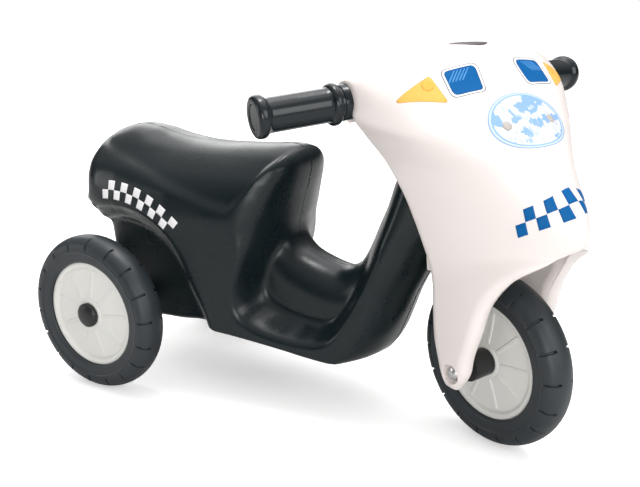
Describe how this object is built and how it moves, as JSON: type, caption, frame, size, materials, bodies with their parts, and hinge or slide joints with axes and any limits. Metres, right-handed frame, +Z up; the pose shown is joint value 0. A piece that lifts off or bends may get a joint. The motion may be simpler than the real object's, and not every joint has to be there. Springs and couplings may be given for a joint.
{
  "type": "toy ride-on scooter",
  "caption": "Toddler's ride-on scooter: moulded saddle body on two rear wheels, with a steering fork and fairing that carries the grips and one front wheel.",
  "frame": {"origin": "on the ground, under the middle of the bounding box at rest", "axes": "+X forward, +Y to the rider's left, +Z up; at rest the fork is turned 22.5 degrees to the rider's right"},
  "size_m": [0.5657, 0.3605, 0.3619],
  "materials": {
    "body_black": "satin black moulded plastic",
    "fairing_white": "satin warm white moulded plastic",
    "steel": "zinc plated steel",
    "bush": "matt black moulded plastic",
    "cap": "matt dark plastic",
    "grip_black": "glossy black plastic",
    "rim": "light grey moulded plastic",
    "tyre": "black moulded rubber-like plastic"
  },
  "bodies": {
    "frame": {"body_shell": "body_black", "steering_bush_upper": "bush", "steering_bush_lower": "bush", "rear_axle": "steel", "rear_bush_right": "bush", "rear_bush_left": "bush", "rear_spacer_right": "bush", "rear_spacer_left": "bush", "hubcap_right": "grip_black", "hubcap_left": "grip_black"},
    "fork": {"fork_fairing": "fairing_white", "steering_pin": "steel", "steering_washer": "steel", "steering_cap": "cap", "handlebar_tube_right": "steel", "handlebar_tube_left": "steel", "grip_right": "grip_black", "grip_left": "grip_black", "front_bolt": "steel", "front_nut": "steel", "front_spacer_right": "bush", "front_spacer_left": "bush"},
    "front_wheel": {"rim_front": "rim", "tyre_front": "tyre"},
    "rear_wheel_right": {"rim_rear_right": "rim", "tyre_rear_right": "tyre"},
    "rear_wheel_left": {"rim_rear_left": "rim", "tyre_rear_left": "tyre"}
  },
  "joints": [
    {"name": "steering", "type": "hinge", "parent": "frame", "child": "fork", "pos_m": [0.1709, -0.017, 0.2], "axis": [-0.0958, 0, 0.9954], "range_deg": [-7.5, 52.5]},
    {"name": "front_wheel_spin", "type": "hinge", "parent": "fork", "child": "front_wheel", "pos_m": [0.19829, -0.02361, 0.08207], "axis": [0.3809, 0.9239, 0.0367], "continuous": true},
    {"name": "rear_wheel_right_spin", "type": "hinge", "parent": "frame", "child": "rear_wheel_right", "pos_m": [-0.2009, -0.1254, 0.0822], "axis": [0, 1, 0], "continuous": true},
    {"name": "rear_wheel_left_spin", "type": "hinge", "parent": "frame", "child": "rear_wheel_left", "pos_m": [-0.2009, 0.0914, 0.0822], "axis": [0, 1, 0], "continuous": true}
  ]
}
